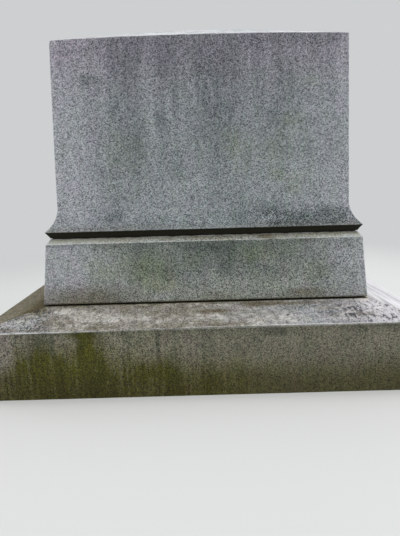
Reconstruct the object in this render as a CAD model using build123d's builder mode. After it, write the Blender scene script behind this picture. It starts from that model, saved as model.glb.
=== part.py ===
"""A granite family headstone of three bedded stones: base, plinth and tablet.

Millimetres, +Z up, with the origin at the centre of the underside of the base.
X runs along the face of the stone and its front looks towards -Y.
"""

import os

from build123d import *

# Tablet, the upright stone: battered faces above a concave flared foot
tablet_top_width = 1219
tablet_top_depth = 354
tablet_face_height = 675
tablet_batter_run = 18.5
flare_height = 99
flare_reach = 48
undercut_height = 26.5
undercut_run = 18

# Crown of the tablet: a low four-way wash that rises to a rounded peak
arris_rise = 10
wash_climb = 68
peak_radius = 1500

# Plinth, battered on four sides under a narrow bevel
plinth_face_height = 256
plinth_batter_run = 22.5
bevel_height = 22.5
bevel_run = 18.5

# Base, upright on four sides under a sloping wash
base_face_height = 281
base_wash_height = 46
base_wash_run = 212

# Beds of setting compound, held back from the faces of the stones
tablet_joint_height = 3
tablet_joint_recess = 6
plinth_joint_height = 8
plinth_joint_recess = 14

# Levels, from the ground up
base_seat_level = base_face_height + base_wash_height
plinth_level = base_seat_level + plinth_joint_height
bevel_level = plinth_level + plinth_face_height
plinth_top_level = bevel_level + bevel_height
tablet_level = plinth_top_level + tablet_joint_height
flare_tip_level = tablet_level + undercut_height
flare_top_level = flare_tip_level + flare_height
corner_level = flare_top_level + tablet_face_height
wash_spring_level = corner_level + wash_climb
peak_level = wash_spring_level + arris_rise

# How far each outline stands out from the top of the tablet, on all four sides
flare_tip_offset = tablet_batter_run + flare_reach
tablet_bed_offset = flare_tip_offset - undercut_run
plinth_face_offset = tablet_bed_offset + bevel_run
plinth_foot_offset = plinth_face_offset + plinth_batter_run
base_offset = plinth_foot_offset + base_wash_run


def level_outline(offset, level):
    """Rectangle round the tablet's top outline, wider by the offset on each side."""
    with BuildSketch(Plane.XY.offset(level)) as outline:
        Rectangle(tablet_top_width + 2 * offset, tablet_top_depth + 2 * offset)
    return outline.sketch


def base_block():
    """Base with a wash that rises on four sides to the seat of the plinth."""
    ground = level_outline(base_offset, 0)
    wash_foot = level_outline(base_offset, base_face_height)
    wash_top = level_outline(plinth_foot_offset, base_seat_level)
    with BuildPart() as base_stone:
        extrude(ground, amount=base_face_height)
        loft([wash_foot, wash_top], ruled=True)
    return base_stone.part


def plinth_block():
    """Plinth with battered faces and a bevel that ends at the tablet's bed."""
    foot = level_outline(plinth_foot_offset, plinth_level)
    face_top = level_outline(plinth_face_offset, bevel_level)
    bevel_top = level_outline(tablet_bed_offset, plinth_top_level)
    with BuildPart() as plinth_stone:
        loft([foot, face_top], ruled=True)
        loft([face_top, bevel_top], ruled=True)
    return plinth_stone.part


def setting_bed(offset, level, height):
    """Flat bed of setting compound inside the outline of a joint."""
    with BuildPart() as bed:
        extrude(level_outline(offset, level), amount=height)
    return bed.part


def foot_edges(half_size):
    """Batter, cavetto, undercut and bed along one side of a tablet elevation."""
    with BuildLine() as edges:
        batter = Line(
            (half_size, corner_level),
            (half_size + tablet_batter_run, flare_top_level),
        )
        flare = TangentArc(
            batter @ 1,
            (half_size + flare_tip_offset, flare_tip_level),
            tangent=batter % 1,
        )
        undercut = Line(flare @ 1, (half_size + tablet_bed_offset, tablet_level))
        Line(undercut @ 1, (0, tablet_level))
    return edges.line


def front_elevation():
    """Front of the tablet, closed by the end washes and their rounded peak."""
    half_width = tablet_top_width / 2
    with BuildSketch(Plane.XZ) as outline:
        with BuildLine():
            add(foot_edges(half_width))
            Line((half_width, corner_level), (0, peak_level))
            mirror(about=Plane.YZ)
        make_face()
        fillet(outline.vertices().sort_by(Axis.Y)[-1], radius=peak_radius)
    return outline.sketch


def end_elevation():
    """End of the tablet, with its battered faces carried up past the crown."""
    half_depth = tablet_top_depth / 2
    lean = tablet_batter_run / tablet_face_height
    head_half_depth = half_depth - lean * (peak_level - corner_level)
    with BuildSketch(Plane.YZ) as outline:
        with BuildLine():
            add(foot_edges(half_depth))
            Polyline(
                (half_depth, corner_level),
                (head_half_depth, peak_level),
                (0, peak_level),
            )
            mirror(about=Plane.YZ)
        make_face()
    return outline.sketch


def ridge_section():
    """Section on the long centre plane, under the arch that the washes carry forward."""
    half_width = tablet_top_width / 2
    outer_half_width = half_width + flare_tip_offset
    with BuildSketch(Plane.XZ) as section:
        with BuildLine():
            arch = ThreePointArc(
                (-half_width, wash_spring_level),
                (0, peak_level),
                (half_width, wash_spring_level),
            )
            Polyline(
                arch @ 1,
                (outer_half_width, wash_spring_level),
                (outer_half_width, 0),
                (-outer_half_width, 0),
                (-outer_half_width, wash_spring_level),
                arch @ 0,
            )
        make_face()
    return section.sketch


def wash_envelope():
    """Space under the front and back washes, which slope down past the flare."""
    half_depth = tablet_top_depth / 2
    reach = (half_depth + flare_tip_offset) / half_depth
    descent = Vector(0, -half_depth, -wash_climb) * reach
    with BuildPart() as envelope:
        extrude(ridge_section(), amount=descent.length, dir=descent)
        mirror(about=Plane.XZ)
    return envelope.part


def tablet_block():
    """Tablet where its elevations meet, so that the flare is mitred at each corner."""
    front = front_elevation()
    end = end_elevation()
    washes = wash_envelope()
    with BuildPart() as tablet_stone:
        extrude(front, amount=tablet_top_depth / 2 + flare_tip_offset, both=True)
        extrude(
            end,
            amount=tablet_top_width / 2 + flare_tip_offset,
            both=True,
            mode=Mode.INTERSECT,
        )
        add(washes, mode=Mode.INTERSECT)
    return tablet_stone.part


def main():
    pieces = {
        "base_stone": base_block(),
        "plinth_joint": setting_bed(
            plinth_foot_offset - plinth_joint_recess, base_seat_level, plinth_joint_height
        ),
        "plinth_stone": plinth_block(),
        "tablet_joint": setting_bed(
            tablet_bed_offset - tablet_joint_recess, plinth_top_level, tablet_joint_height
        ),
        "tablet_stone": tablet_block(),
    }
    os.makedirs("parts", exist_ok=True)
    for name, piece in pieces.items():
        piece.label = name
        export_step(piece, f"parts/{name}.step")


if __name__ == "__main__":
    main()
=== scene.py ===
import math

import bpy
from bpy.props import FloatProperty, FloatVectorProperty, PointerProperty
from mathutils import Matrix, Vector


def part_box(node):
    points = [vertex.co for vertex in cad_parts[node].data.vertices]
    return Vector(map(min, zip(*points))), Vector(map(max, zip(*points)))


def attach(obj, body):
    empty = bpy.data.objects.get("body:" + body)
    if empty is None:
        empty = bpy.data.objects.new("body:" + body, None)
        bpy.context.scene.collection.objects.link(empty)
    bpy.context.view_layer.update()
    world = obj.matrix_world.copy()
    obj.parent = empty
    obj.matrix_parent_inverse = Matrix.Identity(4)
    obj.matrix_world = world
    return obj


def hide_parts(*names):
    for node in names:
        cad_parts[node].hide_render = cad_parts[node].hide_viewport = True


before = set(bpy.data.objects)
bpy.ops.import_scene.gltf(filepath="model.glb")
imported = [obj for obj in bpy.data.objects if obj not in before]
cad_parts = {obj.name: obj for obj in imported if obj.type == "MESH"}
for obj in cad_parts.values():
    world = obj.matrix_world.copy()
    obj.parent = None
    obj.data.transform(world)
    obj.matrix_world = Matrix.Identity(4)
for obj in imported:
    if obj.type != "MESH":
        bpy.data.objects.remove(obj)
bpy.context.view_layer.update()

bl_info = {
    "name": "Granite family headstone",
    "version": (1, 0, 0),
    "blender": (4, 5, 0),
    "location": "3D View > Sidebar > Headstone",
    "description": "Weathered granite base, plinth and tablet round a fixed frame, with a plain studio",
    "category": "Object",
}

ORIGIN = (0.0, 0.0, 0.0)
# Distances of the two closer lines of mesh beside each arris
MARGINS = (0.0025, 0.005)


# Levels and outlines of the three stones, in metres
# Each outline is the tablet's top rectangle, wider by its outset on all four sides

TOP_HALF_WIDTH = 0.6095
TOP_HALF_DEPTH = 0.177

TABLET_TOP = 1.417
FLARE_TOP = 0.742
FLARE_TIP = 0.643
TABLET_BED = 0.6165
PLINTH_TOP = 0.6135
BEVEL_FOOT = 0.591
PLINTH_BED = 0.335
BASE_SEAT = 0.327
WASH_FOOT = 0.281

BATTER_OUTSET = 0.0185
TIP_OUTSET = 0.0665
TABLET_BED_OUTSET = 0.0485
PLINTH_FACE_OUTSET = 0.067
PLINTH_FOOT_OUTSET = 0.0895
BASE_OUTSET = 0.3015


def length_property(name, description, default, least, most):
    """A length, in metres."""
    return FloatProperty(name=name, description=description, default=default, min=least,
                         max=most, unit="LENGTH", precision=4)


def colour_property(name, description, *channels):
    """A colour, written as on a screen with channels from 0 to 255 and kept linear."""
    linear = [(channel / 255.0) ** 2.2 for channel in channels]
    return FloatVectorProperty(name=name, description=description, default=linear, size=3,
                               min=0.0, max=1.0, subtype="COLOR")


class HeadstoneSizes(bpy.types.PropertyGroup):
    """Sizes of the mesh, the wear and the crown."""

    spacing: length_property(
        "Mesh spacing", "Distance between the lines of a stone's mesh", 0.0074, 0.004, 0.03)
    arris_radius: length_property(
        "Worn arris", "Radius to which the corners between faces are worn", 0.0034, 0.0, 0.02)
    chip_width: length_property(
        "Chips", "Width of the largest chips along the arrises", 0.009, 0.0, 0.03)
    waviness: length_property(
        "Waviness", "Depth of the shallow hollows left by the axe", 0.0009, 0.0, 0.005)
    pitting: length_property("Pitting", "Depth of the weathered pits", 0.0007, 0.0, 0.005)
    crown_rise: length_property(
        "Crown rise", "Rise of the front arris towards the middle of the tablet", 0.010, 0.0, 0.05)
    crown_climb: length_property(
        "Crown climb", "Climb of the front and back washes to the centre line", 0.068, 0.0, 0.2)
    crown_radius: length_property(
        "Crown radius", "Radius at the meeting of the two end washes", 1.5, 0.2, 5.0)
    crystal: length_property(
        "Crystal size", "Size of the larger crystals in the granite", 0.0033, 0.001, 0.02)


class HeadstoneColours(bpy.types.PropertyGroup):
    """Colours of the granite, its stains, the light and shade painted on it, and the studio."""

    feldspar: colour_property("Feldspar", "Palest crystals", 190, 193, 197)
    quartz: colour_property("Quartz", "Middle tone of the granite", 146, 150, 155)
    mica: colour_property("Mica", "Darkest crystals", 72, 75, 79)
    rain: colour_property("Rain grime", "Film of the rain streaks", 188, 193, 192)
    mauve: colour_property("Mauve film", "Tint of the stone under the crown", 255, 242, 250)
    damp: colour_property("Damp film", "Faint green tint of the damp lower faces", 247, 254, 247)
    # Also the painted shadow line on the wash along the foot of the plinth
    algae: colour_property("Algae", "Green film on damp faces", 166, 168, 60)
    moss: colour_property("Moss", "Thin green growth on the tablet and the plinth", 228, 236, 202)
    # Also painted as shade in the left corner of the wash by the plinth
    soil: colour_property("Soil", "Wet brown film just above the ground", 205, 195, 140)
    weathered: colour_property(
        "Weathered film", "Brown-grey film on the faces near the ground", 192, 184, 156)
    # Also painted as shade: on the top of the plinth's bevel under the tablet and at the left end of
    # the wash by the plinth
    earth: colour_property("Earth", "Brown dirt splashed up and lodged in corners", 178, 166, 142)
    cream: colour_property("Cream film", "Film of dust and lichen on washes", 226, 215, 194)
    lichen: colour_property("Lichen", "Pale crust on the washes", 196, 192, 186)
    # Also stands for painted light: the highlight on the arrises, the sheen on the tablet's crown and
    # the right end of the base's wash
    worn_and_lit: colour_property("Worn arris", "Clean stone on arrises and chips", 232, 232, 233)
    # Also the painted shadow line along the top of the plinth's bevel, under the tablet
    compound: colour_property("Setting compound", "Dirty compound in the joints", 26, 24, 16)
    # Painted shade: this near-black colour stands for the shade under the tablet's flare
    hollow: colour_property("Hollow", "Damp black growth under the flare", 26, 24, 4)
    floor: colour_property("Floor", "Plain floor of the studio", 214, 214, 212)
    backdrop: colour_property("Backdrop", "Pale surroundings that the camera sees", 204, 206, 207)


# Node trees

class Wire:
    """An output in a node tree; arithmetic on it adds Math nodes to the tree."""

    def __init__(self, tree, socket):
        self.tree = tree
        self.socket = socket

    def maths(self, operation, *values, clamp=False):
        """Result of a Math node on the given values or wires."""
        settings = {"operation": operation, "use_clamp": clamp}
        return self.tree.add("ShaderNodeMath", settings, dict(enumerate(values)))

    def output(self, name):
        """Another output of the same node."""
        return Wire(self.tree, self.socket.node.outputs[name])

    def __add__(self, other):
        return self.maths("ADD", self, other)

    def __radd__(self, other):
        return self.maths("ADD", other, self)

    def __sub__(self, other):
        return self.maths("SUBTRACT", self, other)

    def __rsub__(self, other):
        return self.maths("SUBTRACT", other, self)

    def __mul__(self, other):
        return self.maths("MULTIPLY", self, other)

    def __rmul__(self, other):
        return self.maths("MULTIPLY", other, self)

    def __truediv__(self, other):
        return self.maths("DIVIDE", self, other)

    def __rtruediv__(self, other):
        return self.maths("DIVIDE", other, self)

    def __pow__(self, other):
        return self.maths("POWER", self, other)

    def __abs__(self):
        return self.maths("ABSOLUTE", self)

    def lower(self, other):
        """The lower of two values."""
        return self.maths("MINIMUM", self, other)

    def higher(self, other):
        """The higher of two values."""
        return self.maths("MAXIMUM", self, other)

    def clamped(self):
        """The value kept between 0 and 1."""
        return self.maths("ADD", self, 0.0, clamp=True)

    def fade(self, start, end):
        """0 at start and 1 at end, with a soft curve between them."""
        settings = {"interpolation_type": "SMOOTHSTEP", "clamp": False}
        sockets = {"Value": self, "From Min": start, "From Max": end}
        if start > end:
            sockets.update({"From Min": end, "From Max": start, "To Min": 1.0, "To Max": 0.0})
        return self.tree.add("ShaderNodeMapRange", settings, sockets)


class Nodes:
    """A node tree that is filled one node at a time."""

    def __init__(self, tree):
        self.tree = tree
        self.place = None

    def add(self, kind, settings=None, sockets=None, output=None):
        """Adds a node, its settings first and then the values or links of its sockets."""
        node = self.tree.nodes.new(kind)
        for name, value in (settings or {}).items():
            if name == "stops":
                self.fill_ramp(node.color_ramp, value)
            else:
                setattr(node, name, value)
        for key, value in (sockets or {}).items():
            socket = node.inputs[key]
            if isinstance(value, Wire):
                self.tree.links.new(value.socket, socket)
            elif socket.type == "RGBA" and len(value) == 3:
                socket.default_value = (*value, 1.0)
            else:
                socket.default_value = value
        if not node.outputs:
            return node
        if output is None:
            shown = [socket for socket in node.outputs if socket.enabled]
            return Wire(self, shown[0])
        return Wire(self, node.outputs[output])

    @staticmethod
    def fill_ramp(ramp, stops):
        """Sets a colour ramp to the given places and colours."""
        while len(ramp.elements) < len(stops):
            ramp.elements.new(0.5)
        for element, (position, colour) in zip(ramp.elements, stops):
            element.position = position
            element.color = (*colour, 1.0)

    def axes(self):
        """X, Y and Z of the point that is shaded or moved."""
        split = self.add("ShaderNodeSeparateXYZ", {}, {0: self.place})
        return split, split.output("Y"), split.output("Z")

    def vector(self, operation, first, second, output=0):
        """Result of a Vector Math node."""
        settings = {"operation": operation}
        return self.add("ShaderNodeVectorMath", settings, {0: first, 1: second}, output)

    def seen(self):
        """1 for what the camera sees, also in a reflection or through glass."""
        ray = self.add("ShaderNodeLightPath", {}, {}, "Is Camera Ray")
        rays = ray + ray.output("Is Glossy Ray") + ray.output("Is Transmission Ray")
        return rays.clamped()

    def blend(self, mask, under, over, kind="MIX"):
        """One colour laid over another where the mask is 1."""
        settings = {"data_type": "RGBA", "blend_type": kind}
        return self.add("ShaderNodeMix", settings, {0: mask, 6: under, 7: over}, 2)

    def shifted(self, place, shift):
        """The place moved to another part of a noise."""
        if not shift:
            return place
        return self.vector("ADD", place, (shift, shift * 0.7, shift * 0.4))

    def noise(self, scale, detail=2.0, roughness=0.5, distortion=0.0, shift=0.0, at=None):
        """Cloudy noise from 0 to 1; scale is the features in a metre, one number or three."""
        place = at or self.place
        if isinstance(scale, tuple):
            place = self.vector("MULTIPLY", place, scale)
            scale = 1.0
        sockets = {"Vector": self.shifted(place, shift), "Scale": scale, "Detail": detail,
                   "Roughness": roughness, "Distortion": distortion}
        return self.add("ShaderNodeTexNoise", {}, sockets)

    def cells(self, scale, shift, at, output="Distance"):
        """Voronoi cells; scale is the cells in a metre."""
        sockets = {"Vector": self.shifted(at, shift), "Scale": scale}
        return self.add("ShaderNodeTexVoronoi", {"feature": "F1"}, sockets, output)

    def random_in_cells(self, scale, shift, at):
        """A random value from 0 to 1 for each cell."""
        colour = self.cells(scale, shift, at, "Color")
        return self.add("ShaderNodeSeparateXYZ", {}, {0: colour})


# Editing by hand

def activate(piece):
    """Selects one object and makes it active."""
    bpy.ops.object.select_all(action="DESELECT")
    piece.select_set(True)
    bpy.context.view_layer.objects.active = piece


def open_grid(name, half_x, half_y, level, lines_x, lines_y):
    """Adds a flat grid with closer lines along its edges and stays in edit mode."""
    bpy.ops.object.select_all(action="DESELECT")
    bpy.ops.mesh.primitive_grid_add(x_subdivisions=lines_x, y_subdivisions=lines_y, size=2.0,
                                    location=ORIGIN)
    piece = bpy.context.active_object
    piece.name = name
    piece.data.name = name
    bpy.ops.object.mode_set(mode="EDIT")
    bpy.ops.mesh.select_mode(type="VERT")
    bpy.ops.transform.resize(value=(half_x, half_y, 1.0), center_override=ORIGIN)
    bpy.ops.transform.translate(value=(0.0, 0.0, level))
    for margin in MARGINS:
        for side in (-1.0, 1.0):
            bpy.ops.mesh.select_all(action="SELECT")
            bpy.ops.mesh.bisect(plane_co=(side * (half_x - margin), 0.0, 0.0),
                                plane_no=(1.0, 0.0, 0.0))
            bpy.ops.mesh.select_all(action="SELECT")
            bpy.ops.mesh.bisect(plane_co=(0.0, side * (half_y - margin), 0.0),
                                plane_no=(0.0, 1.0, 0.0))
    bpy.ops.mesh.select_all(action="SELECT")
    bpy.ops.mesh.region_to_loop()
    return piece


def extrude_rings(rings, start):
    """Extrudes the selected edge loop down a profile of levels and outsets."""
    level, outset = start
    for next_level, next_outset in rings:
        bpy.ops.mesh.extrude_edges_move(
            TRANSFORM_OT_translate={"value": (0.0, 0.0, next_level - level)})
        wider = (TOP_HALF_WIDTH + next_outset) / (TOP_HALF_WIDTH + outset)
        deeper = (TOP_HALF_DEPTH + next_outset) / (TOP_HALF_DEPTH + outset)
        bpy.ops.transform.resize(value=(wider, deeper, 1.0),
                                 center_override=(0.0, 0.0, next_level))
        level, outset = next_level, next_outset


def close_and_leave():
    """Fills the last edge loop, turns all faces outwards and leaves edit mode."""
    bpy.ops.mesh.edge_face_add()
    bpy.ops.mesh.select_all(action="SELECT")
    bpy.ops.mesh.normals_make_consistent(inside=False)
    bpy.ops.object.mode_set(mode="OBJECT")


def span(start, end, spacing):
    """Rings down one straight face, closer together next to the arrises at its two ends."""
    drop = start[0] - end[0]
    run = end[1] - start[1]
    length = math.hypot(drop, run)
    near = [margin for margin in MARGINS if margin < length * 0.3]
    first = near[-1] if near else 0.0
    inner = length - 2.0 * first
    count = max(1, round(inner / spacing))
    places = near + [first + inner * index / count for index in range(1, count)]
    places += [length - margin for margin in reversed(near)] + [length]
    return [(start[0] - drop * place / length, start[1] + run * place / length)
            for place in places]


def flare_span(spacing):
    """Rings down the hollow flare, an arc that starts in line with the batter above it."""
    lean = math.atan2(BATTER_OUTSET, TABLET_TOP - FLARE_TOP)
    drop = FLARE_TOP - FLARE_TIP
    reach = TIP_OUTSET - BATTER_OUTSET
    # Half the turn of the arc is the angle between the batter and the chord
    turn = 2.0 * (math.atan2(reach, drop) - lean)
    radius = math.hypot(drop, reach) / (2.0 * math.sin(turn / 2.0))
    count = max(3, round(radius * turn / spacing))
    angles = [turn * index / count for index in range(1, count)]
    angles += [turn - margin / radius for margin in MARGINS] + [turn]
    rings = []
    for angle in sorted(angles):
        along = radius * math.sin(angle)
        across = radius * (1.0 - math.cos(angle))
        rings.append((FLARE_TOP - along * math.cos(lean) + across * math.sin(lean),
                      BATTER_OUTSET + along * math.sin(lean) + across * math.cos(lean)))
    return rings


def arris_lines(stone, sharpness=40.0):
    """A copy of the stone that keeps only the lines along its arrises."""
    activate(stone)
    bpy.ops.object.duplicate()
    lines = bpy.context.active_object
    lines.name = stone.name + "_arrises"
    bpy.ops.object.mode_set(mode="EDIT")
    bpy.ops.mesh.select_mode(type="EDGE")
    bpy.ops.mesh.select_all(action="DESELECT")
    bpy.ops.mesh.edges_select_sharp(sharpness=math.radians(sharpness))
    bpy.ops.mesh.select_all(action="INVERT")
    bpy.ops.mesh.delete(type="EDGE")
    bpy.ops.object.mode_set(mode="OBJECT")
    return lines


def modifier_nodes(name):
    """An empty tree of geometry nodes with its input and output, and the place of each point."""
    tree = bpy.data.node_groups.new(name, "GeometryNodeTree")
    tree.interface.new_socket("Geometry", in_out="INPUT", socket_type="NodeSocketGeometry")
    tree.interface.new_socket("Geometry", in_out="OUTPUT", socket_type="NodeSocketGeometry")
    nodes = Nodes(tree)
    nodes.place = nodes.add("GeometryNodeInputPosition")
    return nodes, nodes.add("NodeGroupInput")


def apply_nodes(piece, nodes, geometry):
    """Ends a tree of geometry nodes and applies it to the piece as a modifier."""
    nodes.add("NodeGroupOutput", {}, {0: geometry})
    activate(piece)
    modifier = piece.modifiers.new(nodes.tree.name, "NODES")
    modifier.node_group = nodes.tree
    bpy.ops.object.modifier_apply(modifier=modifier.name)
    bpy.data.node_groups.remove(nodes.tree)


def raise_crown(stone, sizes):
    """Lifts the flat top of the tablet to its four-way wash with a rounded peak."""
    nodes, geometry = modifier_nodes("crown")
    x, y, z = nodes.axes()
    across = x / TOP_HALF_WIDTH
    arch = (1.0 - across * across) * sizes.crown_rise
    climb = (TOP_HALF_DEPTH - abs(y)).higher(0.0) * (sizes.crown_climb / TOP_HALF_DEPTH)
    front_wash = arch + climb
    rise = sizes.crown_rise + sizes.crown_climb
    slope = rise / TOP_HALF_WIDTH
    angle = math.atan(slope)
    tangent = sizes.crown_radius * math.sin(angle)
    centre = rise - tangent * slope - sizes.crown_radius * math.cos(angle)
    inner = abs(x).lower(tangent)
    rounded = (sizes.crown_radius ** 2 - inner * inner) ** 0.5 + centre
    end_wash = rounded - (abs(x) - tangent).higher(0.0) * slope
    crown = front_wash.maths("SMOOTH_MIN", front_wash, end_wash, 0.003).higher(0.0)
    height = crown * z.fade(TABLET_TOP - 0.0002, TABLET_TOP - 0.0001)
    height = height.higher(arch * ((z - TABLET_TOP) / 0.12 + 1.0).clamped())
    offset = nodes.add("ShaderNodeCombineXYZ", {}, {"Z": height})
    moved = nodes.add("GeometryNodeSetPosition", {}, {"Geometry": geometry, "Offset": offset})
    apply_nodes(stone, nodes, moved)


def push_in(nodes, geometry, depth):
    """Moves every point inwards, against its normal."""
    normal = nodes.add("GeometryNodeInputNormal")
    offset = nodes.add("ShaderNodeVectorMath", {"operation": "SCALE"},
                       {0: normal, "Scale": depth * -1.0})
    return nodes.add("GeometryNodeSetPosition", {}, {"Geometry": geometry, "Offset": offset})


def weather(stone, lines, sizes, seed, bed_level, chips=()):
    """Wears a stone inwards: eased and chipped arrises, shallow hollows and pits.

    The hidden bed stays flat and its arrises nearly sharp. chips holds a place and a radius for
    each knocked-off spot.
    """
    nodes, geometry = modifier_nodes("weathering")
    guide = nodes.add("GeometryNodeObjectInfo", {"transform_space": "ORIGINAL"},
                      {"Object": lines}, "Geometry")
    near = nodes.add("GeometryNodeProximity", {"target_element": "EDGES"}, {0: guide}, "Distance")
    on_arris = near.output("Position")
    above_bed = nodes.axes()[2] - bed_level

    radius = nodes.noise(9.0, 3.0, 0.6, shift=seed, at=on_arris).fade(0.25, 0.85)
    radius = (radius * 1.1 + 0.45) * sizes.arris_radius * (above_bed.fade(0.0, 0.02) * 0.6 + 0.4)
    eased = (1.0 - near / radius).higher(0.0)
    depth = eased * eased * radius * 0.42

    scoop = 0.24 - nodes.cells(17.0, seed + 3.1, on_arris)
    chosen = nodes.random_in_cells(17.0, seed + 3.1, on_arris).fade(0.35, 0.55)
    broad = (scoop.higher(0.0) / 0.24) ** 0.6 * chosen
    nick = 0.25 - nodes.cells(47.0, seed + 7.7, on_arris)
    picked = nodes.random_in_cells(47.0, seed + 7.7, on_arris).fade(0.3, 0.6)
    small = (nick.higher(0.0) / 0.25) ** 0.6 * picked * 0.5
    chip = broad.higher(small) * sizes.chip_width * above_bed.fade(0.002, 0.02)
    for spot, size in chips:
        reach = nodes.vector("DISTANCE", on_arris, spot, "Value")
        chip = chip.higher((1.0 - reach / (size * 1.4)).higher(0.0) ** 0.5 * size)
    broken = (chip - near).higher(0.0)
    ragged = nodes.noise(160.0, 2.0, 0.6, shift=seed) * 0.6 + 0.35
    depth = depth.higher(broken * ragged)

    hollow = nodes.noise(5.0, 2.0, 0.5, shift=seed + 11.0).fade(0.3, 0.8) * sizes.waviness
    pits = nodes.noise(95.0, 2.0, 0.6, shift=seed + 5.0).fade(0.42, 0.75) * sizes.pitting
    depth = (depth + hollow + pits) * above_bed.fade(0.0, 0.001)

    moved = push_in(nodes, geometry, depth)
    # Both are kept from before the points move, when their distances are true
    for name, value in (("arris", near), ("broken", broken)):
        moved = nodes.add("GeometryNodeStoreNamedAttribute",
                          {"data_type": "FLOAT", "domain": "POINT"},
                          {"Geometry": moved, "Name": name, "Value": value})
    apply_nodes(stone, nodes, moved)
    bpy.data.objects.remove(lines)


def finish_stone(stone, node, material, angle=34.0):
    """Shades a finished piece, gives it its material and ties it to the frame."""
    activate(stone)
    bpy.ops.object.shade_smooth_by_angle(angle=math.radians(angle))
    stone.data.materials.clear()
    stone.data.materials.append(material)
    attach(stone, "root")
    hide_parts(node)


# Granite, its stains and the light and shade painted on it

class Surface(Nodes):
    """The tree of a material, and the colour that its films have reached so far."""

    def __init__(self, name, colours):
        self.material = bpy.data.materials.new(name)
        self.material.use_nodes = True
        super().__init__(self.material.node_tree)
        self.tree.nodes.clear()
        self.place = self.add("ShaderNodeTexCoord", {}, {}, "Object")
        self.colours = colours
        self.colour = None

    def stain(self, mask, film):
        """Multiplies the stone by a film's colour where the mask is 1."""
        self.colour = self.blend(mask, self.colour, getattr(self.colours, film), "MULTIPLY")

    def cover(self, mask, film):
        """Hides the stone under a film's colour where the mask is 1."""
        self.colour = self.blend(mask, self.colour, getattr(self.colours, film))

    def attribute(self, name):
        """A value that the weathering stored on the stone."""
        return self.add("ShaderNodeAttribute", {"attribute_name": name}, {}, "Fac")

    def facing_up(self):
        """1 where the stone faces the sky and 0 on upright faces."""
        normal = self.add("ShaderNodeTexCoord", {}, {}, "Normal")
        return self.add("ShaderNodeSeparateXYZ", {}, {0: normal}, "Z").fade(0.62, 0.88)

    def crystal_tone(self, scale, seed, place):
        """A random value from 0 to 1 for each crystal."""
        colour = self.cells(scale, seed, place, "Color")
        return self.add("ShaderNodeSeparateColor", {}, {0: colour})

    def grain(self, size, darker, seed, contrast):
        """Colours the crystals of feldspar, quartz and mica, and returns their relief.

        darker shifts the share of dark crystals, as grime lodged between the pale ones does.
        """
        across = self.noise(260.0, 1.0, 0.5, shift=seed) * 0.003
        up = self.noise(260.0, 1.0, 0.5, shift=seed + 3.0) * 0.003
        moved = self.add("ShaderNodeCombineXYZ", {}, {"X": across, "Y": up - across, "Z": up})
        place = self.vector("ADD", self.place, moved)
        large = self.crystal_tone(1.0 / size, seed, place)
        small = self.crystal_tone(2.1 / size, seed + 1.3, place)
        cluster = self.noise(0.3 / size, 2.0, 0.55, shift=seed + 2.0)
        crystals = large * 0.54 + small * 0.34 + cluster * 0.12
        pick = (crystals - 0.5) * contrast + 0.5 - darker
        films = self.colours
        stops = [(0.0, films.mica), (0.24, films.mica), (0.40, films.quartz),
                 (0.56, films.quartz), (0.76, films.feldspar), (1.0, films.feldspar)]
        self.colour = self.add("ShaderNodeValToRGB", {"stops": stops}, {0: pick}, "Color")
        return crystals * 0.5 + self.noise(420.0, 2.0, 0.6, shift=seed) * 0.6

    def drift(self, seed, strength=1.0):
        """Faint lavender and yellow-green drifts of thin films over a face."""
        tone = self.noise((26.0, 26.0, 11.0), 3.0, 0.62, shift=seed)
        self.stain(tone.fade(0.50, 0.62) * (0.40 * strength), "mauve")
        self.stain(tone.fade(0.50, 0.38) * (0.16 * strength), "moss")

    def patches(self, table, along, up, seed, torn=0.022):
        """Soft patches with torn edges, added up.

        Each row of the table is a place along and up, half a width and half a height, in
        millimetres, and a strength in percent.
        """
        x = along + (self.noise((34.0, 34.0, 6.0), 3.0, 0.6, shift=seed) - 0.5) * (2.0 * torn)
        z = up + (self.noise(13.0, 4.0, 0.62, shift=seed + 5.0) - 0.5) * (3.5 * torn)
        total = None
        for place, level, half_width, half_height, strength in table:
            wide = (abs(x - place / 1000) / (half_width / 1000)).fade(1.0, 0.2)
            tall = (abs(z - level / 1000) / (half_height / 1000)).fade(1.0, 0.2)
            patch = wide * tall * (strength / 100)
            total = patch if total is None else total + patch
        return total

    def arris_wear_and_highlight(self, seed, width, strength, where):
        """Pale along the arrises, partly clean worn stone and partly a painted highlight on the rounded
        arris, and pale broken stone in the chips.
        """
        near = self.attribute("arris")
        patchy = self.noise(26.0, 3.0, 0.65, shift=seed).fade(0.3, 0.62)
        pale = (1.0 - near / width).clamped() * patchy * strength
        self.cover(pale.higher(self.fresh_chips()) * where, "worn_and_lit")

    def fresh_chips(self):
        """Broken stone in the chips."""
        return self.attribute("broken").fade(0.0, 0.002) * 0.5

    def finish(self, roughness, height, distance, specular=0.35):
        """Closes the material with its colour, its roughness and its relief."""
        normal = self.add("ShaderNodeBump", {}, {"Height": height, "Distance": distance,
                                                 "Strength": 1.0})
        shader = self.add("ShaderNodeBsdfPrincipled", {},
                          {"Base Color": self.colour, "Roughness": roughness, "Normal": normal,
                           "Specular IOR Level": specular})
        self.add("ShaderNodeOutputMaterial", {}, {"Surface": shader})
        return self.material


# Where the stains lie: place along the stone, level (or depth on a wash), half width, half height,
# all in millimetres, and strength in percent, below zero where the rain keeps the stone clean

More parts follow.
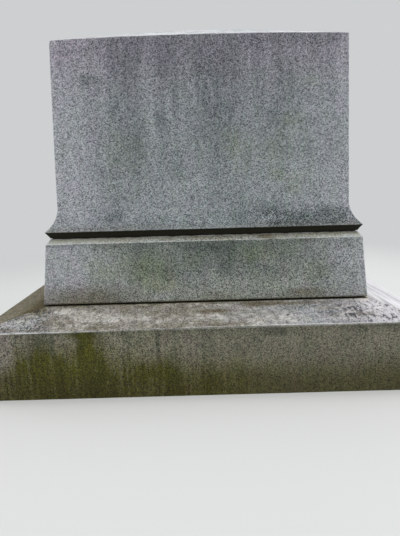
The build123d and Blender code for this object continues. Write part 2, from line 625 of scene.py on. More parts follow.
TABLET_RAIN = (
    (-330, 1130, 140, 330, 8), (-520, 1220, 140, 240, 8), (-440, 1000, 70, 300, 10),
    (-300, 1290, 55, 120, 22), (-290, 960, 60, 170, 24), (-215, 1120, 40, 300, -24),
    (-165, 1095, 34, 60, 40), (-150, 1330, 40, 80, 36), (150, 1350, 50, 100, 16),
    (0, 1320, 240, 90, 22), (570, 1100, 60, 340, 18), (560, 1395, 80, 30, 26),
    (-150, 870, 170, 190, 16), (560, 690, 90, 50, 34), (300, 730, 80, 30, 20),
    (-370, 790, 90, 70, 24), (150, 770, 70, 90, 20), (85, 1300, 85, 60, 42),
    (60, 1120, 100, 260, 34), (150, 1180, 50, 200, 20), (300, 1090, 40, 50, 30),
    (330, 980, 60, 70, 12), (-500, 1369, 80, 24, 34), (-460, 1262, 90, 30, 42),
    (55, 800, 70, 130, 30), (-100, 800, 230, 80, -20), (-380, 700, 80, 45, 34),
    (220, 725, 110, 40, 24), (420, 1180, 80, 40, 16), (470, 970, 60, 40, 14),
    (410, 860, 90, 80, -18), (-350, 940, 70, 130, 18), (-50, 770, 60, 26, 22),
    (-455, 730, 50, 30, 26), (350, 730, 150, 24, 20), (150, 680, 60, 24, 24),
    (50, 930, 50, 100, 14), (-560, 1340, 60, 100, 16), (150, 1400, 50, 30, 16),
    (-250, 1060, 50, 80, 14), (-590, 690, 60, 30, 10), (-500, 700, 60, 26, -16),
    (-300, 702, 60, 26, -20), (-150, 708, 150, 30, -26), (400, 1340, 90, 70, -14),
    (400, 680, 90, 14, 30),
)
TABLET_ALGAE = (
    (375, 1085, 60, 40, 70), (128, 1000, 60, 90, 52), (315, 860, 50, 45, 55),
    (392, 830, 80, 70, 55), (-330, 960, 130, 180, 42), (250, 960, 220, 150, 35),
    (450, 1230, 80, 40, 50),
)
BACK_RAIN = (
    (-420, 1180, 80, 280, 30), (-180, 1240, 70, 220, 34), (-60, 1050, 50, 300, -20),
    (120, 1150, 110, 300, 36), (360, 1260, 70, 160, 30), (300, 700, 160, 50, 30),
)


def tablet_granite(sizes, colours):
    """Axed grey granite with rain streaks, a grimy flare, and a crown painted pale: partly clean stone,
    partly a painted sheen.
    """
    nodes = Surface("tablet_granite", colours)
    x, y, z = nodes.axes()
    front = y.fade(-0.10, -0.16)
    back = y.fade(0.10, 0.16)
    crown = nodes.facing_up() * z.fade(1.30, 1.40)
    high = z.fade(0.70, 1.38)

    # A broad veil of rain grime, streaky at the top, with the placed stains over it
    sides = x.fade(-0.62, -0.31) * (x.fade(0.66, 0.40) * 0.65 + z.fade(1.22, 1.38) * 0.35)
    sides = sides.higher(x.fade(-0.62, -0.31) * x.fade(0.66, 0.36) * 0.92)
    veil = sides * (front + back) + (1.0 - front - back) * 0.45
    wide_runs = nodes.noise((17.0, 17.0, 1.5), 3.0, 0.6, 0.25, shift=9.0).fade(0.30, 0.70)
    thin_runs = nodes.noise((75.0, 75.0, 2.4), 3.0, 0.6, 0.2, shift=4.0).fade(0.34, 0.68)
    cloud = nodes.noise(9.0, 4.0, 0.6, 0.2, shift=6.0).fade(0.30, 0.70)
    placed = nodes.patches(TABLET_RAIN, x, z, 1.0) * front
    placed = placed + nodes.patches(BACK_RAIN, x, z, 2.0) * back
    grime = veil * (high * 0.44 + 0.36) + (wide_runs - 0.5) * (high * 0.20 + 0.08)
    grime = grime + (thin_runs - 0.5) * (high * 0.26) + (cloud - 0.5) * 0.16
    grime = grime + (nodes.noise((48.0, 48.0, 26.0), 2.0, 0.6, shift=17.0) - 0.5) * 0.34
    low_flare = z.fade(0.735, 0.690) * z.fade(0.640, 0.655)
    grime = grime + z.fade(1.35, 1.42) * veil * 0.18 + low_flare * 0.34 + placed
    grime = grime.clamped() * (1.0 - crown)

    right_end = x.fade(0.10, 0.34) * front
    lodged = low_flare * (right_end * 0.75 + nodes.noise(4.0, 2.0, shift=7.0).fade(0.4, 0.8) * 0.3)
    relief = nodes.grain(sizes.crystal, grime * 0.03 + lodged * 0.15, 0.0, 1.12 + lodged * 1.3)
    nodes.stain(grime, "rain")
    nodes.stain(lodged * 0.45, "rain")
    tip = z.fade(0.676, 0.652) * (abs(x).fade(0.12, 0.36) * 0.20 + 0.18)
    nodes.stain(tip, "earth")

    mauve = z.fade(1.14, 1.39) * (1.0 - crown) * 0.92
    nodes.stain(mauve, "mauve")
    damp = z.fade(1.20, 0.95) * abs(x - 0.08).fade(0.58, 0.30) * 0.5
    nodes.stain(damp, "damp")
    nodes.drift(16.0)
    torn = nodes.noise((90.0, 90.0, 60.0), 3.0, 0.65, shift=8.0).fade(0.36, 0.62) * 0.7 + 0.2
    film = nodes.patches(TABLET_ALGAE, x, z, 3.0) * front * torn
    nodes.stain(film.clamped(), "moss")

    # Painted sheen, partly clean stone: the up-facing crown is kept free of grime and covered in the
    # pale worn colour
    crust = nodes.noise(34.0, 5.0, 0.7, shift=12.0).fade(0.50, 0.64)
    mottled = nodes.noise(8.0, 4.0, 0.6, shift=14.0).fade(0.35, 0.7)
    nodes.cover(crown * (0.36 + crust * 0.22), "worn_and_lit")
    nodes.stain(crown * mottled * (abs(y).fade(0.17, 0.10) * 0.45 + 0.25), "rain")
    # Painted highlight, partly worn stone: pale lines along the arrises above the flare's tip
    nodes.arris_wear_and_highlight(6.0, 0.005, 0.26, z.fade(0.655, 0.68))

    # Painted shade: the underside of the flare is covered in the near-black hollow colour, standing in
    # for the shade under it
    under = z.fade(FLARE_TIP + 0.002, FLARE_TIP - 0.002)
    nodes.cover(under * 0.98, "hollow")
    return nodes.finish(0.82 + grime * 0.1, relief, 0.0012, 0.2)


PLINTH_RAIN = (
    (10, 570, 170, 34, 50), (85, 565, 60, 44, 80), (95, 510, 50, 85, 70), (620, 570, 50, 40, 26),
    (510, 455, 60, 50, 26), (-285, 560, 30, 55, 45), (-170, 568, 70, 30, -34),
    (320, 520, 60, 50, 16), (470, 510, 50, 40, 18), (30, 445, 30, 30, -30),
    (440, 583, 140, 10, 26), (60, 566, 70, 30, 45), (-170, 510, 60, 30, -22),
    (280, 505, 50, 35, -26), (-630, 500, 60, 70, -42), (630, 510, 50, 30, -20),
    (630, 445, 40, 30, 24), (350, 395, 110, 36, -30), (-540, 586, 200, 10, 60),
    (0, 586, 360, 10, 24), (-50, 397, 140, 34, 20), (560, 450, 90, 34, 14),
    (-680, 450, 30, 130, -26), (680, 450, 30, 130, -20), (290, 510, 70, 50, -14),
)
PLINTH_ALGAE = (
    (-230, 470, 160, 120, 50), (-270, 470, 50, 70, 25), (-180, 410, 80, 50, 45),
    (-55, 500, 60, 60, 45), (230, 540, 160, 70, 40), (-430, 460, 100, 70, 35),
    (480, 450, 100, 60, 30),
)
PLINTH_EARTH = (
    (-510, 365, 240, 70, 36), (430, 358, 120, 30, 52), (-180, 356, 70, 26, -22),
    (60, 350, 120, 30, 25), (-400, 585, 120, 22, 26), (460, 590, 100, 22, 20),
)
BEVEL_DULL = (
    (262, 600, 50, 200, 80), (70, 600, 50, 200, 30), (-170, 600, 50, 200, 20),
    (-420, 600, 60, 200, 15),
)


def plinth_granite(sizes, colours):
    """Axed grey granite with a pale bevel, damp patches and earth splashed on its foot."""
    nodes = Surface("plinth_granite", colours)
    x, y, z = nodes.axes()
    front = y.fade(-0.20, -0.235)
    face = z.fade(BEVEL_FOOT + 0.001, BEVEL_FOOT - 0.002)
    upper = z.fade(0.37, 0.50)

    veil = abs(x - 0.05).fade(0.66, 0.30) * front + (1.0 - front) * 0.5
    cloud = nodes.noise((10.0, 10.0, 8.0), 4.0, 0.6, 0.2, shift=21.0).fade(0.32, 0.70)
    thin_runs = nodes.noise((60.0, 60.0, 3.5), 3.0, 0.6, shift=23.0).fade(0.36, 0.70)
    placed = nodes.patches(PLINTH_RAIN, x, z, 24.0, 0.014) * front
    grime = veil * (upper * 0.44 + 0.14) + (cloud - 0.5) * 0.24 + (thin_runs - 0.5) * 0.16
    centre = abs(x - 0.02).fade(0.44, 0.22) * z.fade(0.40, 0.46) * front
    top = z.fade(0.53, 0.58) * 0.22
    heaviest = (grime + centre * 0.34 + top + placed) * face
    grime = heaviest.clamped()
    rim_side = abs(x - 0.02).fade(0.54, 0.66) * front
    relief = nodes.grain(sizes.crystal, grime * 0.02 - rim_side * 0.035, 31.0,
                         1.18 + x.fade(-0.45, -0.10) * 0.26)
    nodes.stain(grime, "rain")
    nodes.stain((heaviest - 1.0).clamped() * 0.7, "rain")

    torn = nodes.noise((80.0, 80.0, 60.0), 3.0, 0.65, shift=35.0).fade(0.36, 0.62) * 0.7 + 0.5
    green = nodes.patches(PLINTH_ALGAE, x, z, 26.0, 0.026) * front * torn + veil * 0.42 + 0.06
    green = green + (nodes.noise((9.0, 9.0, 11.0), 4.0, 0.6, shift=27.0) - 0.5) * 0.5
    nodes.stain(green.clamped() * face, "moss")
    nodes.drift(36.0, 1.3)
    ragged = (nodes.noise((20.0, 20.0, 5.0), 4.0, 0.65, shift=28.0) - 0.5) * 0.08
    leftward = x.fade(-0.22, -0.45) * front + (1.0 - front) * 0.6
    splash = (z + ragged).fade(0.450, 0.345) * (leftward * 0.28 + 0.18) + 0.07
    splash = splash + nodes.patches(PLINTH_EARTH, x, z, 29.0, 0.020) * front
    nodes.stain(splash.clamped() * face, "earth")

    bevel = 1.0 - face
    warm = nodes.noise(14.0, 4.0, 0.65, shift=30.0).fade(0.30, 0.68)
    middle = abs(x - 0.08).fade(0.60, 0.15) * front
    nodes.cover(bevel * (0.40 - middle * 0.35), "lichen")
    nodes.stain(bevel * (warm * 0.45 + middle * 0.50), "cream")
    nodes.stain(bevel, "damp")
    dull = nodes.patches(BEVEL_DULL, x, z, 34.0, 0.02) * front
    nodes.stain((dull * bevel).clamped(), "earth")
    # Painted shade with some dirt: the upper bevel, next to the joint under the tablet, darkens in the
    # colour of earth
    shaded = bevel * z.fade(0.597, 0.610) * (0.56 + x.fade(0.30, 0.55) * 0.20)
    nodes.stain(shaded, "earth")
    # Painted shadow: a near-black line along the top of the bevel, under the tablet's flare, in the
    # compound's colour
    shadow_under_tablet = z.fade(0.6096, 0.6116) * 0.9
    nodes.cover(shadow_under_tablet, "compound")
    # Painted highlight, partly worn stone: pale lines along the plinth's arrises, on its faces and its
    # bevel
    edge = z.fade(0.345, 0.38) * (z.fade(0.585, 0.570) + bevel * 0.9)
    nodes.arris_wear_and_highlight(33.0, 0.006, 0.55, edge)
    # Darker along the lowest few millimetres of the plinth, just above its joint, in the colour of
    # earth
    foot = z.fade(0.342, 0.336)
    nodes.stain(foot * 0.9, "earth")
    return nodes.finish(0.85 + grime * 0.08, relief, 0.0012)


WASH_PALE = (
    (-420, -375, 170, 45, 42), (-520, -345, 70, 30, 40), (-740, -400, 50, 45, 40),
    (-820, -420, 60, 30, 35), (-240, -400, 80, 60, 55), (70, -405, 60, 30, 45),
    (300, -420, 180, 60, 46), (600, -400, 130, 80, 36), (640, -300, 80, 45, 36),
    (-360, -399, 60, 22, 40), (0, -294, 150, 20, 40), (700, -360, 50, 40, 50),
    (-600, -325, 80, 40, 90), (-655, -335, 50, 30, 28), (-400, -385, 170, 60, 35),
    (-50, -400, 220, 30, 36), (220, -446, 80, 32, 80), (70, -296, 50, 22, 60),
    (-510, -449, 60, 22, 45), (-760, -400, 40, 24, 45), (60, -385, 90, 26, 25),
)
WASH_DARK = (
    (-740, -290, 60, 40, 18), (-780, -350, 60, 30, 35), (-650, -400, 60, 28, 45),
    (30, -346, 110, 26, 60), (-160, -452, 340, 22, 22), (360, -292, 200, 22, 70),
    (500, -346, 60, 26, 40), (640, -399, 80, 26, 40), (-130, -350, 110, 70, 30),
    (-560, -410, 60, 30, 25), (230, -298, 130, 34, 45), (-290, -290, 130, 22, 26),
    (520, -292, 60, 22, 30), (-800, -456, 80, 22, 75), (-680, -462, 110, 14, 60),
    (-205, -360, 14, 80, 30), (380, -320, 80, 30, 24), (530, -330, 100, 40, 20),
    (-420, -456, 90, 18, 60), (-160, -456, 100, 18, 30), (80, -450, 130, 20, 50),
    (-735, -300, 50, 30, 70), (-660, -430, 60, 40, 50), (510, -400, 50, 30, 35),
    (210, -290, 90, 30, 40), (30, -346, 110, 24, 30),
)
WASH_SPECKS = (
    (600, -385, 70, 80, 100), (500, -400, 60, 40, 40), (720, -430, 60, 30, 35),
    (-700, -335, 70, 50, 80), (-690, -440, 70, 36, 85), (-820, -445, 60, 30, 70),
    (-725, -292, 40, 26, 80), (-560, -330, 100, 45, -34), (400, -330, 60, 30, 30),
    (720, -290, 40, 30, 40),
)
# Place and half sizes of one small dark hole in the wash, in metres
WASH_PIT = (0.331, -0.392, 0.009, 0.007)
BASE_RUNS = (
    (-430, 195, 150, 50, -12), (820, 190, 70, 70, -14), (70, 145, 80, 35, -12),
    (-195, 225, 12, 100, 135), (-700, 200, 16, 110, 60), (-655, 210, 30, 90, 34),
    (-560, 200, 22, 110, 24), (-490, 200, 18, 110, 12), (-420, 230, 10, 70, 20),
    (-365, 240, 10, 50, 30), (-300, 240, 8, 50, 30), (-220, 120, 60, 60, 20),
    (50, 200, 10, 100, 22), (300, 200, 12, 100, 22), (540, 230, 50, 60, 20),
    (235, 262, 50, 26, 60), (275, 262, 60, 28, 60), (600, 274, 70, 14, 30), (720, 274, 80, 14, 30),
    (383, 225, 8, 60, 50), (450, 235, 9, 60, 30), (620, 205, 10, 90, 25), (180, 210, 12, 90, 25),
    (-350, 205, 70, 80, -46), (-740, 205, 20, 80, -20), (-585, 210, 22, 90, -62),
    (-530, 200, 22, 90, -44), (-250, 210, 30, 70, -20), (70, 140, 70, 40, -30),
    (660, 210, 100, 60, -40), (800, 200, 80, 60, -44), (800, 140, 80, 40, -40),
    (-150, 210, 100, 50, -24), (-440, 210, 50, 60, -24), (-650, 190, 40, 50, -24),
    (200, 140, 170, 40, -20), (-800, 150, 60, 50, -34), (480, 250, 90, 26, -20),
)
BASE_ALGAE = (
    (-475, 235, 45, 85, 24), (-450, 215, 85, 110, 26), (-480, 260, 70, 50, 14),
    (-490, 190, 100, 120, 18), (-660, 190, 60, 140, 22), (-600, 150, 180, 120, 20),
    (-200, 110, 120, 70, 26), (-500, 264, 100, 22, 50), (-800, 140, 60, 60, -14),
)


def base_arris_wear_and_highlight(nodes, x, z, wash):
    """Painted highlight on the base's arris, partly worn stone: a pale line on the lip of its wash,
    brightest at the right.
    """
    near = nodes.attribute("arris")
    patchy = nodes.noise(26.0, 3.0, 0.65, shift=51.0).fade(0.28, 0.56) * 0.7 + 0.3
    left = x.fade(-0.54, -0.64)
    reach = x.fade(-0.45, 0.15) * 0.013 - x.fade(0.36, 0.50) * 0.006 + 0.006
    bright = x.fade(0.12, 0.28) * 0.42 + x.fade(0.36, 0.50) * 0.18 + x.fade(-0.66, -0.36) * 0.18
    lip = (near / reach).fade(1.0, 0.55) * wash * bright
    face = z.fade(0.262, 0.272) * (x.fade(-0.34, -0.52) * 0.34 + left * 0.30)
    face = (face + z.fade(0.05, 0.25) * 0.12) * near.fade(0.006, 0.001) * (1.0 - wash)
    nodes.cover(((lip + face) * patchy).higher(nodes.fresh_chips()), "worn_and_lit")


def base_granite(sizes, colours):
    """Axed granite: a lichened wash above faces that are green with algae."""
    nodes = Surface("base_granite", colours)
    x, y, z = nodes.axes()
    turn = z - x.fade(-0.50, 0.10) * y.fade(-0.40, -0.46) * 0.0015
    wash = turn.fade(WASH_FOOT - 0.0012, WASH_FOOT + 0.0006)
    face = 1.0 - wash
    front = y.fade(-0.46, -0.475)
    relief = nodes.grain(sizes.crystal, 0.0, 44.0,
                         wash * 0.25 + x.fade(0.20, -0.40) * 0.26 + 1.24)

    # The upright faces: an even brown-grey film, fine rain streaks, algae from the ground up
    wide_runs = nodes.noise((16.0, 16.0, 1.6), 3.0, 0.6, 0.2, shift=46.0).fade(0.32, 0.70)
    thin_runs = nodes.noise((70.0, 70.0, 2.6), 3.0, 0.62, 0.2, shift=45.0).fade(0.34, 0.68)
    uneven = x.fade(0.35, -0.35) * front + (1.0 - front) * 0.6
    runs = (wide_runs - 0.5) * (uneven * 0.32 + 0.10) + (thin_runs - 0.5) * (uneven * 0.30 + 0.16)
    placed = nodes.patches(BASE_RUNS, x, z, 52.0, 0.008) * front
    under_arris = z.fade(0.225, 0.275) * 0.18 + z.fade(0.267, 0.275) * 0.16
    outer = x.fade(-0.740, -0.785) * front * z.fade(0.09, 0.18)
    nodes.stain(face * (1.0 - outer * 0.10), "weathered")
    nodes.stain(outer * 0.5, "mauve")
    dark = 0.30 + runs * 1.3 + placed + under_arris * (0.8 + uneven * 0.6) - outer * 0.9
    dark = dark.clamped() * face
    nodes.stain(dark, "rain")
    climb = (nodes.noise((11.0, 11.0, 4.0), 4.0, 0.6, shift=47.0) - 0.5) * 0.075
    left = x.fade(0.0, -0.50) * 0.050 - x.fade(0.10, 0.30) * 0.022
    rising = (z + climb - left).fade(0.224, 0.052)
    ends = abs(x).fade(0.74, 0.80) * front
    splashed = ends * (z.fade(0.05, 0.10) * 0.18 - z.fade(0.12, 0.18) * 0.12)
    nodes.stain(splashed, "earth")
    dry = x.fade(0.05, 0.35) * front
    green = rising * (0.82 + runs * 0.7) * (1.0 - ends * 0.2) * (1.0 - dry * 0.25)
    nodes.stain(rising * dry * (ends * 0.25 + 0.26), "earth")
    green = green + nodes.patches(BASE_ALGAE, x, z, 53.0) * front - outer * 0.3
    flecks = nodes.noise((90.0, 90.0, 40.0), 3.0, 0.65, shift=59.0) - 0.5
    green = green * (flecks * uneven * 1.6 + uneven * 0.14 + 1.0)
    nodes.stain(green.clamped() * face, "algae")
    soil = (z + climb * 0.5).fade(0.150, 0.030) * (uneven * 0.40 + 0.40)
    nodes.stain(soil * face, "soil")
    nodes.drift(60.0, 1.5)

    # The wash: a cream film, pale crusts and dark specks, with painted light at its right end
    cloud = nodes.noise(9.0, 5.0, 0.66, 0.4, shift=48.0).fade(0.34, 0.66)
    patchy = nodes.noise((24.0, 34.0, 24.0), 5.0, 0.70, 0.3, shift=50.0)
    fine = nodes.noise((120.0, 60.0, 90.0), 4.0, 0.72, shift=58.0)
    lumps = nodes.noise((64.0, 30.0, 48.0), 4.0, 0.70, shift=61.0)
    end_wash = (abs(x) - abs(y)).fade(0.426, 0.438)
    drawn = nodes.noise((70.0, 2.5, 20.0), 4.0, 0.6, shift=56.0)
    right = x.fade(-0.05, 0.48)
    left = (x - (abs(y) - 0.36) * 0.6).fade(-0.63, -0.73) * (1.0 - end_wash)
    cream = (1.05 - right * 0.90 - left * 0.80 + (cloud - 0.5) * 0.3) * wash
    nodes.stain(cream.clamped(), "cream")
    crust = patchy.fade(0.50, 0.60) * (cloud * 0.6 + 0.30) * (1.0 - end_wash * 0.6)
    crust = crust + nodes.patches(WASH_PALE, x, y, 54.0, 0.03)
    crust = crust * (lumps.fade(0.44, 0.54) * 0.85 + 0.30)
    nodes.cover((crust * wash * 0.80).clamped(), "lichen")
    # Painted light: the right end of the wash, and the end that faces the open sky, are covered in the
    # pale worn colour, patchy and swept with streaks
    right_end = x.fade(0.52, 0.62) * end_wash
    lit_right_end = x.fade(0.62, 0.69) * (1.0 - end_wash) * lumps.fade(0.40, 0.50)
    lit_right_end = lit_right_end * (abs(y).fade(0.47, 0.36) * 0.18 + 0.38)
    swept = drawn.fade(0.44, 0.58) * 0.52 + abs(x).fade(0.80, 0.70) * 0.16
    from_hip = (abs(x) - abs(y)).fade(0.43, 0.58) * 0.26 + 0.72
    lit_right_end = lit_right_end + right_end * (1.0 - swept) * from_hip
    lit_right_end = (lit_right_end * wash).clamped()
    nodes.cover(lit_right_end, "worn_and_lit")
    gritty = nodes.patches(WASH_SPECKS, x, y, 57.0, 0.020)
    speckled = abs(x).fade(0.52, 0.66) * (1.0 - end_wash) * 0.40 + x.fade(0.10, 0.50) * 0.30
    speckled = speckled + gritty + 0.34
    specks = (fine * 0.6 + lumps * 0.4 - gritty * 0.04).fade(0.48, 0.41)
    specks = specks * (1.0 - right_end * 0.85)
    nodes.cover((specks * speckled * wash).clamped(), "mica")
    blotch = patchy.fade(0.46, 0.35) * (1.0 - lit_right_end) * (0.55 - right * 0.25)
    blotch = blotch + nodes.patches(WASH_DARK, x, y, 55.0, 0.010)
    blotch = blotch + (drawn.fade(0.42, 0.60) * 0.24 + 0.10) * end_wash * x.fade(0.2, -0.5)
    # Darker towards the foot of the plinth all along the wash, in the colour of earth
    near = abs(y).fade(0.330, 0.268) * abs(x).fade(0.76, 0.69)
    # Painted shade: the left end of the wash darkens towards the plinth, in the colours of earth and
    # soil
    corner = x.fade(-0.83, -0.72) * x.fade(-0.66, -0.71) * abs(y).fade(0.40, 0.30)
    shade_by_plinth = abs(x).fade(0.80, 0.70) * end_wash * x.fade(0.2, -0.5)
    blotch = blotch + near * 0.22 + corner * 0.45 + shade_by_plinth * 0.34
    nodes.stain((blotch * wash).clamped(), "earth")
    # Browner over the left end of the wash, with more painted shade in the corner by the plinth, in the
    # colour of soil
    nodes.stain((x.fade(-0.60, -0.72) * end_wash * 0.5 + corner * 0.5).clamped() * wash, "soil")
    foot_x = TOP_HALF_WIDTH + PLINTH_FOOT_OUTSET
    foot_y = TOP_HALF_DEPTH + PLINTH_FOOT_OUTSET
    # Painted shadow: a narrow dark line on the wash along the foot of the plinth, in the colour of
    # algae
    shadow_at_plinth_foot = abs(y).fade(foot_y + 0.0075, foot_y + 0.0015)
    shadow_at_plinth_foot = shadow_at_plinth_foot * abs(x).fade(foot_x + 0.010, foot_x + 0.003) * wash
    nodes.stain(shadow_at_plinth_foot * 0.6, "algae")
    lavender = x.fade(0.42, 0.62) * wash * (0.40 - end_wash * 0.15)
    nodes.stain(lavender, "mauve")
    pit_x, pit_y, half_width, half_depth = WASH_PIT
    pit = (abs(x - pit_x) / half_width).fade(1.0, 0.5)
    pit = pit * (abs(y - pit_y) / half_depth).fade(1.0, 0.5)
    nodes.cover(pit * 0.9, "compound")
    under = abs(y).fade(foot_y + 0.001, foot_y - 0.001)
    under = under * abs(x).fade(foot_x + 0.001, foot_x - 0.001) * wash
    nodes.cover(under * 0.95, "compound")
    # Painted highlight, partly worn stone, along the arris of the wash
    base_arris_wear_and_highlight(nodes, x, z, wash)
    return nodes.finish(0.88, relief, 0.0012)


def setting_compound(colours):
    """Dark compound, dirty and crumbling where it meets the weather."""
    nodes = Surface("setting_compound", colours)
    crumbs = nodes.noise(180.0, 4.0, 0.7, shift=61.0)
    dirt = nodes.noise(18.0, 3.0, 0.6, shift=62.0).fade(0.4, 0.7)
    nodes.colour = colours.compound
    nodes.stain(dirt, "earth")
    nodes.stain(crumbs.fade(0.45, 0.65) * 0.6, "rain")
    return nodes.finish(0.9 + dirt * 0.08, crumbs, 0.001, 0.2)


# The pieces, each with its operator

# Rows of faces down the edge of a bed
BED_RINGS = 4


def lines_for(length, sizes):
    """Number of grid cells in a length."""
    return max(2, round(length / sizes.spacing))


def cut_stone(name, wide, deep, sizes, start, rings):
    """A grid for the top of a stone, with rings of faces from it down the stone's profile.

    The profile starts with a level and an outset; wide and deep set the number of grid lines.
    """
    level, outset = start
    stone = open_grid(name, TOP_HALF_WIDTH + outset, TOP_HALF_DEPTH + outset, level,
                      lines_for(wide, sizes), lines_for(deep, sizes))
    extrude_rings(rings, start)
    close_and_leave()
    return stone


class HEADSTONE_OT_tablet(bpy.types.Operator):
    """Tablet: battered faces, hollow flared foot, undercut bed and a low crown"""

    bl_idname = "headstone.tablet"
    bl_label = "Tablet stone"

    def execute(self, context):
        sizes = context.scene.headstone_sizes
        wide = 2.0 * (TOP_HALF_WIDTH + TIP_OUTSET * 0.5)
        deep = 2.0 * (TOP_HALF_DEPTH + TIP_OUTSET * 0.5)
        start = (TABLET_TOP, 0.0)
        rings = span(start, (FLARE_TOP, BATTER_OUTSET), sizes.spacing)
        rings += flare_span(sizes.spacing * 0.8)
        rings += span((FLARE_TIP, TIP_OUTSET), (TABLET_BED, TABLET_BED_OUTSET),
                      sizes.spacing * 0.8)
        stone = cut_stone("weathered_tablet", wide, deep, sizes, start, rings)
        raise_crown(stone, sizes)
        corner = (-TOP_HALF_WIDTH, -TOP_HALF_DEPTH, TABLET_TOP)
        weather(stone, arris_lines(stone), sizes, 2.0, TABLET_BED, ((corner, 0.008),))
        material = tablet_granite(sizes, context.scene.headstone_colours)
        finish_stone(stone, "tablet_stone", material)
        return {"FINISHED"}


class HEADSTONE_OT_plinth(bpy.types.Operator):
    """Plinth: battered faces under a narrow bevel"""

    bl_idname = "headstone.plinth"
    bl_label = "Plinth stone"

    def execute(self, context):
        sizes = context.scene.headstone_sizes
        wide = 2.0 * (TOP_HALF_WIDTH + TABLET_BED_OUTSET)
        deep = 2.1 * (TOP_HALF_DEPTH + TABLET_BED_OUTSET)
        start = (PLINTH_TOP, TABLET_BED_OUTSET)
        foot_of_bevel = (BEVEL_FOOT, PLINTH_FACE_OUTSET)
        rings = span(start, foot_of_bevel, sizes.spacing * 0.7)
        rings += span(foot_of_bevel, (PLINTH_BED, PLINTH_FOOT_OUTSET), sizes.spacing)
        stone = cut_stone("weathered_plinth", wide, deep, sizes, start, rings)
        weather(stone, arris_lines(stone, 25.0), sizes, 15.0, PLINTH_BED)
        material = plinth_granite(sizes, context.scene.headstone_colours)
        finish_stone(stone, "plinth_stone", material)
        return {"FINISHED"}


class HEADSTONE_OT_base(bpy.types.Operator):
    """Base: upright faces under a wash that rises to the seat of the plinth"""

    bl_idname = "headstone.base"
    bl_label = "Base stone"

    def execute(self, context):
        sizes = context.scene.headstone_sizes
        wide = 2.0 * (TOP_HALF_WIDTH + BASE_OUTSET)
        deep = 2.0 * (TOP_HALF_DEPTH + BASE_OUTSET)
        start = (BASE_SEAT, PLINTH_FOOT_OUTSET)
        wash_foot = (WASH_FOOT, BASE_OUTSET)
        rings = span(start, wash_foot, sizes.spacing)
        rings += span(wash_foot, (0.0, BASE_OUTSET), sizes.spacing)
        stone = cut_stone("weathered_base", wide, deep, sizes, start, rings)
        front = -(TOP_HALF_DEPTH + BASE_OUTSET)
        chips = (((0.205, front, WASH_FOOT), 0.004), ((0.383, front, WASH_FOOT), 0.005))
        weather(stone, arris_lines(stone), sizes, 27.0, 0.0, chips)
        material = base_granite(sizes, context.scene.headstone_colours)
        finish_stone(stone, "base_stone", material)
        return {"FINISHED"}


class HEADSTONE_OT_beds(bpy.types.Operator):
    """Beds of setting compound, held back in the two joints"""

    bl_idname = "headstone.beds"
    bl_label = "Beds of setting compound"

    def execute(self, context):
        sizes = context.scene.headstone_sizes
        material = setting_compound(context.scene.headstone_colours)
        for node in ("plinth_joint", "tablet_joint"):
            low, high = (Vector(corner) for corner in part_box(node))
            bpy.ops.object.select_all(action="DESELECT")
            bpy.ops.mesh.primitive_grid_add(
                x_subdivisions=lines_for(high.x - low.x, sizes),
                y_subdivisions=lines_for(high.y - low.y, sizes), size=2.0)
            bed = bpy.context.active_object
            bed.name = "weathered_" + node
            bed.data.name = bed.name
            bpy.ops.object.mode_set(mode="EDIT")
            bpy.ops.transform.resize(value=(high.x, high.y, 1.0), center_override=ORIGIN)
            bpy.ops.transform.translate(value=(0.0, 0.0, high.z))
            bpy.ops.mesh.dissolve_limited(angle_limit=0.01, use_dissolve_boundaries=False)
            bpy.ops.mesh.select_all(action="SELECT")
            bpy.ops.mesh.region_to_loop()
            drop = (low.z - high.z) / BED_RINGS
            for _ in range(BED_RINGS):
                bpy.ops.mesh.extrude_edges_move(
                    TRANSFORM_OT_translate={"value": (0.0, 0.0, drop)})
            close_and_leave()
            self.crumble(bed, low, high)
            finish_stone(bed, node, material, 50.0)
        return {"FINISHED"}

    @staticmethod
    def crumble(bed, low, high):
        """Wears the face of a bed back between its top and bottom edges."""
        nodes, geometry = modifier_nodes("crumbling")
        z = nodes.axes()[2]
        middle = (low.z + high.z) / 2
        inside = 1.0 - abs(z - middle) / ((high.z - low.z) / 2)
        depth = inside.fade(0.0, 0.5) * nodes.noise(60.0, 3.0, 0.6) * 0.004
        apply_nodes(bed, nodes, push_in(nodes, geometry, depth))


# Studio

CAMERA_PLACE = (-0.022377, -2.1785, 0.856945)
CAMERA_RIGHT = (0.999624, -0.006071, -0.026726)
CAMERA_UP = (0.027396, 0.194378, 0.980544)
CAMERA_FORWARD = (0.000758, 0.980908, -0.194471)
CAMERA_LENS = 30.76
SENSOR = 36.0
WORLD_STRENGTH = 0.5
# Name, place, height that it is aimed at, side in metres and power in watts
LAMPS = (
    ("overhead_lamp", (0.4, -0.5, 4.2), 0.6, 3.4, 95.0),
    ("front_lamp", (-1.8, -4.8, 2.1), 0.7, 3.0, 80.0),
    ("back_lamp", (1.6, 4.8, 2.1), 0.7, 3.0, 80.0),
    ("left_lamp", (-5.0, 0.6, 2.4), 0.7, 3.0, 45.0),
    ("right_lamp", (5.0, -0.6, 2.4), 0.7, 3.0, 60.0),
)


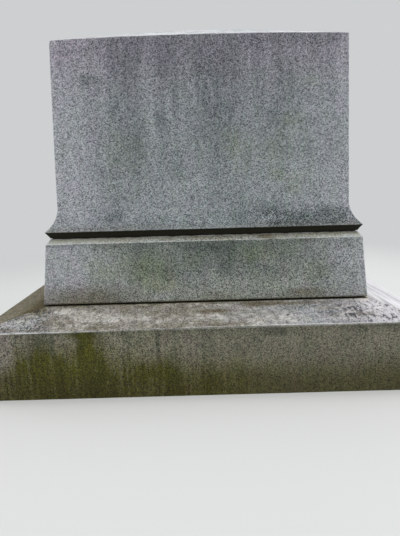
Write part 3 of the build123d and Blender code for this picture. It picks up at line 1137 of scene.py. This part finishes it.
class HEADSTONE_OT_stage(bpy.types.Operator):
    """Plain floor, soft light and the camera at the photograph's angle"""

    bl_idname = "headstone.stage"
    bl_label = "Studio"

    def execute(self, context):
        colours = context.scene.headstone_colours
        self.add_floor(colours)
        self.light_world(context, colours)
        for lamp in LAMPS:
            self.add_lamp(*lamp)
        self.add_camera(context)
        context.scene.view_settings.view_transform = "Standard"
        return {"FINISHED"}

    @staticmethod
    def add_floor(colours):
        """A pale floor that fades into the backdrop for the camera."""
        bpy.ops.object.select_all(action="DESELECT")
        bpy.ops.mesh.primitive_circle_add(vertices=96, radius=14.0, fill_type="NGON",
                                          location=ORIGIN)
        floor = bpy.context.active_object
        floor.name = "studio_floor"
        nodes = Surface("studio_floor", colours)
        distance = nodes.vector("LENGTH", nodes.place, ORIGIN, "Value")
        far = distance.fade(1.9, 4.2) * nodes.seen()
        speckle = nodes.noise(240.0, 3.0, 0.6)
        tone = nodes.blend(speckle * 0.05, colours.floor, (0.5, 0.5, 0.5))
        matt = nodes.add("ShaderNodeBsdfPrincipled", {},
                         {"Base Color": tone, "Roughness": 0.9, "Specular IOR Level": 0.1})
        glow = nodes.add("ShaderNodeEmission", {}, {"Color": colours.backdrop})
        mixed = nodes.add("ShaderNodeMixShader", {}, {0: far, 1: matt, 2: glow})
        nodes.add("ShaderNodeOutputMaterial", {}, {"Surface": mixed})
        floor.data.materials.append(nodes.material)

    @staticmethod
    def light_world(context, colours):
        """Soft light all round, and the plain backdrop for the camera."""
        world = bpy.data.worlds.new("studio_light")
        world.use_nodes = True
        world.node_tree.nodes.clear()
        context.scene.world = world
        nodes = Nodes(world.node_tree)
        seen = nodes.seen()
        soft = nodes.add("ShaderNodeBackground", {}, {"Color": (0.93, 0.97, 1.0),
                                                      "Strength": WORLD_STRENGTH})
        plain = nodes.add("ShaderNodeBackground", {}, {"Color": colours.backdrop,
                                                       "Strength": 1.0})
        mixed = nodes.add("ShaderNodeMixShader", {}, {0: seen, 1: soft, 2: plain})
        nodes.add("ShaderNodeOutputWorld", {}, {"Surface": mixed})

    @staticmethod
    def add_lamp(name, place, height, side, power):
        """A square soft lamp that faces the middle of the headstone."""
        bpy.ops.object.select_all(action="DESELECT")
        bpy.ops.object.light_add(type="AREA", location=place)
        lamp = bpy.context.active_object
        lamp.name = name
        lamp.data.size = side
        lamp.data.energy = power
        aim = Vector((0.0, 0.0, height)) - Vector(place)
        lamp.rotation_euler = aim.to_track_quat("-Z", "Y").to_euler()

    @staticmethod
    def add_camera(context):
        """The camera that was fitted to the photograph."""
        bpy.ops.object.camera_add(location=CAMERA_PLACE)
        camera = bpy.context.active_object
        camera.name = "camera"
        turned = Matrix((CAMERA_RIGHT, CAMERA_UP,
                         tuple(-part for part in CAMERA_FORWARD))).transposed()
        camera.matrix_world = Matrix.Translation(CAMERA_PLACE) @ turned.to_4x4()
        camera.data.sensor_width = SENSOR
        camera.data.lens = CAMERA_LENS
        context.scene.camera = camera


class HEADSTONE_PT_panel(bpy.types.Panel):
    """Lists the headstone's pieces, sizes and colours"""

    bl_idname = "HEADSTONE_PT_panel"
    bl_label = "Headstone"
    bl_space_type = "VIEW_3D"
    bl_region_type = "UI"
    bl_category = "Headstone"

    def draw(self, context):
        column = self.layout.column(align=True)
        for operator in OPERATORS:
            column.operator(operator.bl_idname)
        for group in (context.scene.headstone_sizes, context.scene.headstone_colours):
            box = self.layout.box()
            for name in group.__annotations__:
                box.prop(group, name)


OPERATORS = (
    HEADSTONE_OT_base,
    HEADSTONE_OT_plinth,
    HEADSTONE_OT_tablet,
    HEADSTONE_OT_beds,
    HEADSTONE_OT_stage,
)
CLASSES = (HeadstoneSizes, HeadstoneColours) + OPERATORS + (HEADSTONE_PT_panel,)


def register():
    """Adds the classes and the settings of the headstone."""
    for part in CLASSES:
        bpy.utils.register_class(part)
    bpy.types.Scene.headstone_sizes = PointerProperty(type=HeadstoneSizes)
    bpy.types.Scene.headstone_colours = PointerProperty(type=HeadstoneColours)


def unregister():
    """Takes the settings and the classes out again."""
    del bpy.types.Scene.headstone_colours
    del bpy.types.Scene.headstone_sizes
    for part in reversed(CLASSES):
        bpy.utils.unregister_class(part)


def main():
    """Builds every piece and the studio."""
    register()
    bpy.ops.headstone.base()
    bpy.ops.headstone.plinth()
    bpy.ops.headstone.tablet()
    bpy.ops.headstone.beds()
    bpy.ops.headstone.stage()


if __name__ == "__main__":
    main()
